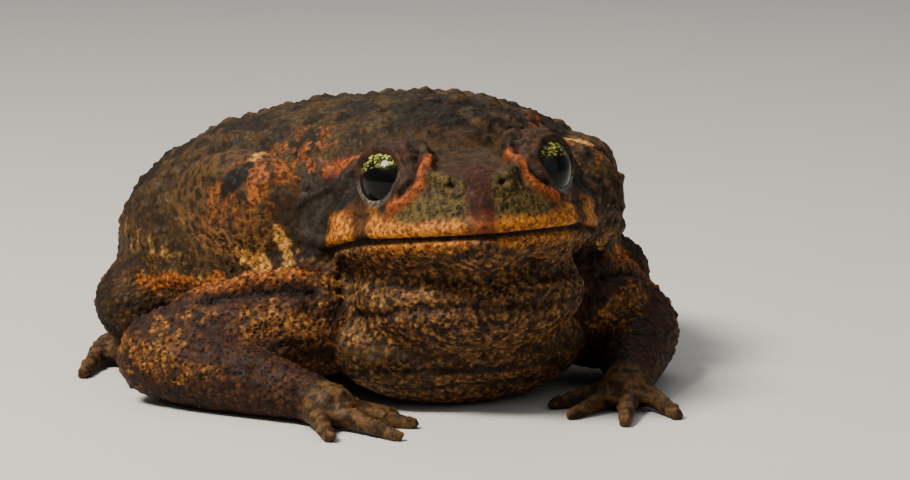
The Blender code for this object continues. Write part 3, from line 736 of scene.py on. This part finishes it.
def face_marks(skin, face, lids, rise, lines, fray, coarse):
    """The marks of the face. The lores are the olive fields between the nostrils, the eyes and the lip."""
    x, distance, height = skin.head.T
    side = np.abs(x)
    lore_foot = 1.3 + 1.2 * fray + 1.6 * step(distance, 6, 13)
    lore = face * step(rise, lore_foot, lore_foot + 1.4) * step(frayed(side, 1.6, fray), *LORE_SIDE)
    lore *= step(lids, *LORE_FROM_LIDS) * step(distance, *LORE_BACK)
    lore *= step(height, *LORE_TOP) * step(height - 0.6 * side, *LORE_SLOPE)
    lip_top = 0.8 + 1.6 * coarse + 1.6 * fray + 3.4 * step(distance, 6, 18)
    upper = face * step(rise, *LIP_FOOT)
    lip = upper * step(rise, lip_top + 1.6, lip_top - 0.8) * step(frayed(distance, 7.0, fray), *LIP_BACK)
    over_lip = upper * step(rise, lip_top + 3.4, lip_top + 1.0) * step(distance, *OVER_LIP_BACK)
    beside = step(frayed(side, 2.0, fray), *LIP_SIDE)
    lower_lip = step(rise, *LOWER_LIP_TOP) * step(frayed(rise, 1.6, fray), *LOWER_LIP_FOOT)
    lower_lip *= step(frayed(distance, 4.0, fray), *LOWER_LIP_BACK)
    lower_lip *= step(frayed(side, 2.0, fray), *LOWER_LIP_SIDE)
    # Painted shade: the near-black cheek between the eye and the eardrum, and the skin around the eardrum
    cheek_shade = face * step(distance, *CHEEK_FRONT) * step(side, *CHEEK_SIDE)
    cheek_shade *= step(rise, *CHEEK_FOOT) * step(height, *CHEEK_TOP)
    shade_around_ear = face * step(distance, *EAR_FRONT) * step(side, *EAR_SIDE) * step(height, *EAR_TOP)
    return {
        "face": face,
        # The muzzle's dark red-brown and the dark red of the lip's front are partly their own tone and
        # partly painted shade
        "muzzle": face * step(side, *MUZZLE_SIDE) * step(distance, *MUZZLE_BACK),
        "lore": lore,
        "lip": np.maximum(lip * (0.15 + 0.85 * beside), 0.9 * lower_lip),
        "lip_red": np.maximum(lip * (1 - beside), 0.6 * over_lip),
        # Painted shadow: a dark bar down the lip below the eye
        "gap_shadow": 0.9 * edged("gap_shadow", lines["lip_gap"], fray) * face,
        "cheek_shade": np.maximum(cheek_shade, 0.9 * shade_around_ear),
        "lid": step(lids, *LID_SKIN) * face,
        # The wet rim low on each eye: a clear coat, with its pale grey colour a painted sheen
        "wet_and_sheen": step(lids, *WET_RIM) * step(height + 0.25 * distance, *WET_TOP),
        "fold_rust": np.maximum(lines["before_eye"], lines["to_gland"]) * step(distance, *RUST_BACK),
        "granular": np.maximum(0.7 * lore, 0.4 * lip),
    }


def body_marks(skin, tree, behind, shares, folds, fray, coarse, broken):
    """The marks behind the face: on the glands, arms, legs, flanks and belly."""
    points = skin.points
    z = points[:, 2]

    def near(name, path):
        return both_sides(skin, tree, path, PATH_WIDTHS[name])

    under = step(skin.normals[:, 2], *UNDERSIDE)
    trunk = behind * np.prod([1 - shares[name] for name in ("arm", "leg", "digits", "jaw")], axis=0)
    flank = step(z, *FLANK_TOP) * (1 - shares["jaw"]) * behind * trunk * (1 - under)
    glow = np.maximum(folds["glow"], 0.22 * shares["gland"]) * behind
    grain = rough_noise(points / STREAK_STRETCH, *STREAKS)
    grain += 0.24 * (glow - 0.5) + 0.3 * (coarse - 0.5)
    streak = step(grain, *STREAK_LEVELS) * step(glow, *STREAK_GLOW)
    streak *= 0.25 + 0.75 * step(frayed(z, 8, fray), *STREAKS_FOOT)
    patches = 0.65 * step(rough_noise(points, *GOLD_PATCHES), *GOLD_LEVELS)
    gold = np.maximum.reduce([patches] + [near("gold", path) for path in ARM_GOLD])
    wave = np.sin(points[:, 1] * 2 * math.pi / LEG_BAR_SPACING)
    blotch = step(rough_noise(points, *BLOTCHES), *BLOTCH_LEVELS) * behind
    scattered = step(rough_noise(points / SCATTERED_STRETCH, *SCATTERED), *SCATTER_LEVELS)
    marks = np.maximum.reduce([near("cream", path) for path in CREAM_MARKS])
    around_marks = np.maximum.reduce([near("around_cream", path) for path in CREAM_MARKS])
    cream = (
        edged("cream", marks, broken) * behind,
        0.6 * scattered * flank * step(z, *SCATTER_FOOT),
        0.8 * step(near("dash", PALE_DASH), 0.3, 0.7),
    )
    band = np.maximum(folds["band"], near("flank_band", FLANK_BAND))
    # Painted shadow: the dark lens high on the gland
    shadow_spot = np.maximum(near("shadow_spot", SHADOW_SPOT), near("shadow_spot_middle", SHADOW_SPOT_MIDDLE))
    return {
        "belly": np.maximum(under * trunk, shares["jaw"]),
        "flank": flank,
        "blotch": blotch * (1 - shares["jaw"]),
        "bars": 0.8 * edged("bars", wave, coarse) * shares["leg"],
        "streak": streak,
        "shade": 0.85 * edged("shade", around_marks, fray) * (1 - shares["arm"]),
        "gold": edged("gold", gold, broken) * shares["arm"],
        "band": edged("band", band, broken) * behind * (1 - shares["jaw"]),
        "cream": np.maximum.reduce(cream),
        "shadow_spot": edged("shadow_spot", shadow_spot, broken),
        "granular": np.maximum.reduce([under * trunk, shares["jaw"], shares["arm"], 0.5 * shares["leg"]]),
    }


def paint_shares(skin, tree, shares, lids, rise, hole, drum, lines, folds, granules):
    """Where each colour of the skin goes, from 0 to 1."""
    fray, coarse, broken = (rough_noise(skin.points, *noise) for noise in (FRAY, COARSE, BROKEN))
    distance = skin.head[:, 1]
    face = step(distance, *FACE_BACK) * step(rise, *FACE_FOOT)
    on_face = face_marks(skin, face, lids, rise, lines, fray, coarse)
    on_body = body_marks(skin, tree, 1 - face, shares, folds, fray, coarse, broken)
    mouth = bump(rise, 0, MOUTH_LINE_WIDTH) * step(distance, *MOUTH_END)
    # Painted shade: the nostrils' pits, the mouth line and the folds are darkened where shade falls in them
    crease_shades = [hole, mouth, folds["fold"]] + [shade * lines[name] for name, shade in FOLD_SHADES.items()]
    crease_shades += [0.5 * np.minimum(folds["throat"], 1), 0.4 * np.minimum(folds["chest"], 1)]
    return {
        **on_face,
        **on_body,
        "granular": np.maximum(on_face["granular"], on_body["granular"]),
        "crease_shade": np.maximum.reduce(crease_shades),
        "drum": drum,
        **granules,
    }


def srgb(red, green, blue):
    """A colour given in the usual 0 to 255, as the shader's linear values."""
    values = [c / 255 for c in (red, green, blue)]
    return tuple(c / 12.92 if c <= 0.04045 else ((c + 0.055) / 1.055) ** 2.4 for c in values) + (1,)


# The skin's colours, painted one over another: the mark, a darker and a lighter tone, the mottling's size
BACK_DARK, BACK_LIGHT = srgb(28, 21, 11), srgb(68, 51, 26)
SKIN_PAINT = (
    ("blotch", srgb(20, 15, 9), srgb(34, 25, 14), 3.0),
    ("leg", srgb(42, 28, 13), srgb(80, 54, 25), 4.0),
    ("bars", srgb(24, 17, 10), srgb(40, 28, 15), 3.0),
    ("flank", srgb(36, 27, 14), srgb(70, 51, 26), 4.5),
    ("wart", srgb(60, 40, 21), srgb(98, 66, 33), 3.0),
    ("gland", srgb(36, 25, 14), srgb(76, 54, 28), 1.6),
    ("streak", srgb(68, 35, 13), srgb(138, 76, 27), 0.9),
    ("shade", srgb(30, 23, 14), srgb(46, 34, 20), 2.0),
    ("arm", srgb(38, 20, 11), srgb(72, 40, 19), 2.4),
    ("gold", srgb(78, 45, 16), srgb(150, 97, 40), 0.9),
    ("digits", srgb(44, 30, 17), srgb(88, 62, 33), 1.8),
    ("belly", srgb(52, 33, 18), srgb(140, 96, 50), 1.5),
    ("face", srgb(33, 22, 11), srgb(60, 40, 20), 3.0),
    # The snout's middle and the lip's front: partly their own dark red-brown, partly painted shade
    ("muzzle", srgb(38, 20, 12), srgb(60, 30, 17), 2.0),
    ("lip_red", srgb(66, 28, 14), srgb(104, 46, 20), 1.6),
    ("lore", srgb(44, 36, 17), srgb(86, 70, 33), 1.2),
    ("lid", srgb(34, 22, 14), srgb(58, 36, 21), 1.8),
    # Painted shade on the cheek and around the eardrum
    ("cheek_shade", srgb(17, 13, 10), srgb(32, 24, 17), 2.0),
    ("lip", srgb(114, 57, 17), srgb(188, 120, 39), 0.9),
    # Painted shadow down the lip below the eye
    ("gap_shadow", srgb(32, 19, 12), srgb(62, 34, 18), 1.0),
    ("fold_rust", srgb(96, 43, 17), srgb(152, 76, 29), 1.0),
    ("drum", srgb(25, 21, 17), srgb(44, 37, 29), 1.5),
    ("band", srgb(106, 52, 16), srgb(176, 100, 33), 0.9),
    ("cream", srgb(134, 84, 31), srgb(210, 158, 77), 0.9),
    # Painted shadow of the dark lens on the gland
    ("shadow_spot", srgb(14, 11, 9), srgb(24, 18, 13), 1.5),
    # Painted shade in the glands' pores
    ("pore_shade", srgb(22, 14, 9), srgb(36, 23, 14), 1.0),
    # Painted shade in the nostrils, along the mouth line and in the folds
    ("crease_shade", srgb(16, 11, 8), srgb(26, 18, 13), 1.0),
    # Painted sheen: the pale grey of the wet rim low on each eye
    ("wet_and_sheen", srgb(44, 40, 35), srgb(104, 98, 86), 0.8),
)
# The dark of the real specks, and the painted shade in furrows and pits
SPECK_AND_FURROW_SHADE = srgb(20, 13, 8)
HORN = srgb(34, 21, 12)
PIT_SPACING, PIT_DEPTH = 1.05, 0.25
SPECK_SIZE = 0.55


class Nodes:
    """Makes the nodes of one material and joins them up."""

    def __init__(self, name):
        self.material = bpy.data.materials.new(name)
        self.material.use_nodes = True
        self.tree = self.material.node_tree
        self.shader = self.tree.nodes["Principled BSDF"]
        self.place = self.make("ShaderNodeTexCoord").outputs["Object"]

    def make(self, kind, **settings):
        node = self.tree.nodes.new(kind)
        for name, value in settings.items():
            setattr(node, name, value)
        return node

    def put(self, value, socket):
        """Sets a socket to a number or a colour, or links another node's output to it."""
        if isinstance(value, bpy.types.NodeSocket):
            self.tree.links.new(value, socket)
        else:
            socket.default_value = value

    def attribute(self, name):
        return self.make("ShaderNodeAttribute", attribute_name=name).outputs["Fac"]

    def noise(self, size, detail=3.0, distortion=0.0):
        """Noise with features of about that size."""
        node = self.make("ShaderNodeTexNoise")
        self.put(self.place, node.inputs["Vector"])
        node.inputs["Scale"].default_value = 1 / (size * MM)
        node.inputs["Detail"].default_value = detail
        node.inputs["Distortion"].default_value = distortion
        return node.outputs["Fac"]

    def cells(self, size):
        """How far each place is from the middle of its cell, with cells of about that size."""
        node = self.make("ShaderNodeTexVoronoi")
        self.put(self.place, node.inputs["Vector"])
        node.inputs["Scale"].default_value = 1 / (size * MM)
        return node.outputs["Distance"]

    def ramp(self, value, low, high, first=0.0, second=1.0):
        """Goes softly from the first number to the second while the value goes from low to high."""
        node = self.make("ShaderNodeMapRange", interpolation_type="SMOOTHSTEP")
        names = ("Value", "From Min", "From Max", "To Min", "To Max")
        for name, item in zip(names, (value, low, high, first, second)):
            self.put(item, node.inputs[name])
        return node.outputs["Result"]

    def calculate(self, operation, first, second):
        node = self.make("ShaderNodeMath", operation=operation)
        self.put(first, node.inputs[0])
        self.put(second, node.inputs[1])
        return node.outputs[0]

    def mix(self, share, first, second, blend="MIX"):
        """One colour over another. Sockets 6 and 7 take the colours, and 2 gives the mixed one."""
        node = self.make("ShaderNodeMix", data_type="RGBA", blend_type=blend)
        self.put(share, node.inputs[0])
        self.put(first, node.inputs[6])
        self.put(second, node.inputs[7])
        return node.outputs[2]

    def bumped(self, heights):
        """Fine relief from pairs of a height from 0 to 1 and its depth."""
        normal = None
        for height, depth in heights:
            node = self.make("ShaderNodeBump")
            node.inputs["Strength"].default_value = 1.0
            node.inputs["Distance"].default_value = depth * MM
            self.put(height, node.inputs["Height"])
            if normal:
                self.put(normal, node.inputs["Normal"])
            normal = node.outputs["Normal"]
        self.put(normal, self.shader.inputs["Normal"])


def skin_material():
    """Mottled tones, one over another where the marks say, then painted shade in furrows and pits, horny
    tips and specks.
    """
    nodes = Nodes("toad_skin")
    colour = nodes.mix(nodes.ramp(nodes.noise(5.0), 0.40, 0.62), BACK_DARK, BACK_LIGHT)
    for name, dark, light, size in SKIN_PAINT:
        tone = nodes.mix(nodes.ramp(nodes.noise(size), 0.38, 0.62), dark, light)
        colour = nodes.mix(nodes.attribute(name), colour, tone)
    # Painted shade darkens the furrows between granules and the pits of the throat and arms, and warts end
    # in dark horn.
    colour = nodes.mix(nodes.ramp(nodes.attribute("furrow"), 0.1, 0.9, 0.0, 0.6), colour, SPECK_AND_FURROW_SHADE)
    pits = nodes.ramp(nodes.cells(PIT_SPACING), 0.44, 0.2)
    pits = nodes.calculate("MULTIPLY", pits, nodes.ramp(nodes.noise(3.5), 0.3, 0.6, 0.35, 1.0))
    pitted = nodes.calculate("MULTIPLY", pits, nodes.attribute("granular"))
    colour = nodes.mix(nodes.calculate("MULTIPLY", pitted, 0.85), colour, SPECK_AND_FURROW_SHADE)
    colour = nodes.mix(nodes.ramp(nodes.attribute("tip"), 0.3, 0.9, 0.0, 0.7), colour, HORN)
    specks = nodes.ramp(nodes.noise(SPECK_SIZE, 2.0), 0.53, 0.66, 0.0, 0.5)
    colour = nodes.mix(specks, colour, SPECK_AND_FURROW_SHADE)
    nodes.put(colour, nodes.shader.inputs["Base Color"])
    dull = nodes.ramp(nodes.noise(1.2), 0.35, 0.7, 0.56, 0.84)
    nodes.put(dull, nodes.shader.inputs["Roughness"])
    nodes.put(nodes.attribute("wet_and_sheen"), nodes.shader.inputs["Coat Weight"])
    nodes.shader.inputs["Coat Roughness"].default_value = 0.08
    nodes.shader.inputs["Specular IOR Level"].default_value = 0.14
    raised = nodes.calculate("SUBTRACT", 1.0, pitted)
    nodes.bumped(((raised, PIT_DEPTH), (nodes.cells(0.55), 0.05), (nodes.noise(0.25, 2.0), 0.03)))
    return nodes.material


def make_skin():
    """The body's one piece: its skin with all relief, then the marks on it and its material."""
    skin = base_skin()
    tree = tree_of(skin.points)
    lids = shape_eyes(skin)
    rise = shape_mouth(skin)
    hole = shape_nostrils(skin)
    drum = shape_eardrums(skin)
    lines = shape_face_lines(skin, tree)
    folds = shape_body_folds(skin, tree)
    shares = {name: skin.read(name) for name in REGIONS}
    granules = shape_granules(skin, shares, lids, drum, lines, folds)
    shares.update(paint_shares(skin, tree, shares, lids, rise, hole, drum, lines, folds, granules))
    skin.points[:, 2] = np.maximum(skin.points[:, 2], 0)
    skin.points *= MM
    skin.save(shares)
    skin.mesh.materials.clear()
    skin.mesh.materials.append(skin_material())
    skin.mesh.shade_smooth()
    body = bpy.data.objects.new("skin", skin.mesh)
    bpy.context.scene.collection.objects.link(body)
    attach(body, "root")
    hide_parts(*FLESH)


# The pupil's oval lies a little below the eye's middle; the iris turns gold from one height to another, and
# below them painted shade keeps it dark.
PUPIL_HALF_WIDTH, PUPIL_HALF_HEIGHT, PUPIL_DROP = 3.9, 2.9, 1.5
GOLD_FROM, GOLD_FULL = 0.6, 2.4
PUPIL_BLACK, IRIS_DARK_AND_SHADE = srgb(3, 3, 3), srgb(14, 13, 8)
GOLD_DARK, GOLD_LIGHT = srgb(88, 84, 24), srgb(188, 194, 84)


def eye_material():
    """A wide black pupil in a dark iris veined with gold and green, brightest along its top and darkened
    below by painted shade.
    """
    nodes = Nodes("toad_eye")
    split = nodes.make("ShaderNodeSeparateXYZ")
    nodes.put(nodes.place, split.inputs[0])
    across, up = split.outputs[0], split.outputs[1]
    wide = nodes.calculate("DIVIDE", across, PUPIL_HALF_WIDTH * MM)
    tall = nodes.calculate("DIVIDE", nodes.calculate("ADD", up, PUPIL_DROP * MM), PUPIL_HALF_HEIGHT * MM)
    squares = [nodes.calculate("MULTIPLY", value, value) for value in (wide, tall)]
    squared = nodes.calculate("ADD", *squares)
    away = nodes.calculate("SQRT", squared, 0.0)
    iris = nodes.ramp(away, 0.97, 1.03)
    veins = nodes.ramp(nodes.noise(0.9, 4.0, 1.6), 0.50, 0.58)
    # Painted shade: the gold fades out down the iris, leaving it dark below
    gold_above_shade = nodes.ramp(up, GOLD_FROM * MM, GOLD_FULL * MM, 0.0, 0.95)
    gold = nodes.mix(nodes.ramp(nodes.noise(1.2), 0.35, 0.65), GOLD_DARK, GOLD_LIGHT)
    colour = nodes.mix(nodes.calculate("MULTIPLY", veins, gold_above_shade), IRIS_DARK_AND_SHADE, gold)
    colour = nodes.mix(iris, PUPIL_BLACK, colour)
    nodes.put(colour, nodes.shader.inputs["Base Color"])
    nodes.shader.inputs["Roughness"].default_value = 0.3
    nodes.shader.inputs["Specular IOR Level"].default_value = 0.05
    nodes.shader.inputs["Coat Weight"].default_value = 0.4
    nodes.shader.inputs["Coat IOR"].default_value = 1.36
    nodes.shader.inputs["Coat Roughness"].default_value = 0.02
    return nodes.material


def make_eye(side):
    mesh = bpy.data.meshes.new(f"eyeball_{WORDS[side]}")
    bm = bmesh.new()
    radii = (EYE_RADIUS, EYE_RADIUS, EYE_RADIUS + CORNEA_RISE, 1)
    shape = Matrix.Scale(MM, 4) @ Matrix.Diagonal(radii)
    bmesh.ops.create_uvsphere(bm, u_segments=96, v_segments=64, radius=1, matrix=shape)
    bm.to_mesh(mesh)
    bm.free()
    mesh.shade_smooth()
    material = bpy.data.materials.get("toad_eye") or eye_material()
    mesh.materials.append(material)
    eye = bpy.data.objects.new(mesh.name, mesh)
    axes = eye_matrix(side)
    eye.matrix_world = Matrix.Translation(axes.translation * MM) @ axes.to_3x3().to_4x4()
    bpy.context.scene.collection.objects.link(eye)
    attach(eye, "root")
    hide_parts(f"eye_{WORDS[side]}")


FLOOR_HALF = 8.0
FLOOR_DARK, FLOOR_LIGHT = (0.50, 0.49, 0.47, 1), (0.53, 0.52, 0.50, 1)


def make_floor():
    """A plain pale floor, its half size in metres."""
    mesh = bpy.data.meshes.new("floor")
    bm = bmesh.new()
    bmesh.ops.create_grid(bm, x_segments=4, y_segments=4, size=FLOOR_HALF)
    bm.to_mesh(mesh)
    bm.free()
    nodes = Nodes("pale_floor")
    tone = nodes.mix(nodes.noise(40.0), FLOOR_DARK, FLOOR_LIGHT)
    nodes.put(tone, nodes.shader.inputs["Base Color"])
    nodes.shader.inputs["Roughness"].default_value = 0.8
    mesh.materials.append(nodes.material)
    floor = bpy.data.objects.new("floor", mesh)
    bpy.context.scene.collection.objects.link(floor)


# Lamps: where from, as azimuth and height in degrees, distance and size in metres, watts and colour
LAMPS = (
    ("key", -74, 54, 0.9, 0.25, 17.0, (1.0, 0.93, 0.82)),
    ("fill", 30, 22, 1.1, 0.9, 1.5, (0.97, 0.97, 1.0)),
    ("back", 165, 50, 1.0, 0.6, 1.7, (1.0, 0.97, 0.92)),
)
SKY_LIGHT, SKY_SPREAD = 0.4, 70.0
ROOM_COLOUR, ROOM_LIGHT = (0.86, 0.86, 0.85, 1), 0.26


def direction(azimuth, rise):
    """The way to what lies that far round from the toad's front to its left, and that high."""
    turn, lift = math.radians(azimuth), math.radians(rise)
    return Vector((math.sin(turn) * math.cos(lift), -math.cos(turn) * math.cos(lift), math.sin(lift)))


def make_lights():
    """Three soft lamps, a wide overhead light and the even light of a pale room."""
    for name, azimuth, rise, distance, size, watts, colour in LAMPS:
        lamp = bpy.data.lights.new(name, "AREA")
        lamp.size = size
        lamp.energy = watts
        lamp.color = colour
        holder = bpy.data.objects.new(name, lamp)
        away = direction(azimuth, rise)
        holder.location = away * distance
        holder.rotation_euler = away.to_track_quat("Z", "Y").to_euler()
        bpy.context.scene.collection.objects.link(holder)
    sky = bpy.data.lights.new("overhead", "SUN")
    sky.energy = SKY_LIGHT
    sky.angle = math.radians(SKY_SPREAD)
    bpy.context.scene.collection.objects.link(bpy.data.objects.new("overhead", sky))
    world = bpy.data.worlds.new("studio")
    world.use_nodes = True
    world.node_tree.nodes["Background"].inputs["Color"].default_value = ROOM_COLOUR
    world.node_tree.nodes["Background"].inputs["Strength"].default_value = ROOM_LIGHT
    bpy.context.scene.world = world


def make_camera():
    """The photograph's camera, aimed so that the snout's tip falls where it does there."""
    back = direction(CAMERA_AZIMUTH, CAMERA_ELEVATION)
    turn = math.radians(CAMERA_AZIMUTH)
    right = Vector((math.cos(turn), math.sin(turn), 0))
    up = back.cross(right)
    per_pixel = CAMERA_DISTANCE * SENSOR / LENS / PHOTO_SIZE[0]
    place = HEAD.translation + back * CAMERA_DISTANCE
    place -= right * (SNOUT_PIXEL[0] - PHOTO_SIZE[0] / 2) * per_pixel
    place += up * (SNOUT_PIXEL[1] - PHOTO_SIZE[1] / 2) * per_pixel
    camera = bpy.data.cameras.new("camera")
    camera.lens = LENS
    camera.sensor_width = SENSOR
    camera.clip_start = 0.01
    holder = bpy.data.objects.new("camera", camera)
    axes = Matrix((right, up, back)).transposed().to_4x4()
    holder.matrix_world = Matrix.Translation(place * MM) @ axes
    bpy.context.scene.collection.objects.link(holder)
    bpy.context.scene.camera = holder


def main():
    make_skin()
    for side in (LEFT, RIGHT):
        make_eye(side)
    make_floor()
    make_lights()
    make_camera()


main()
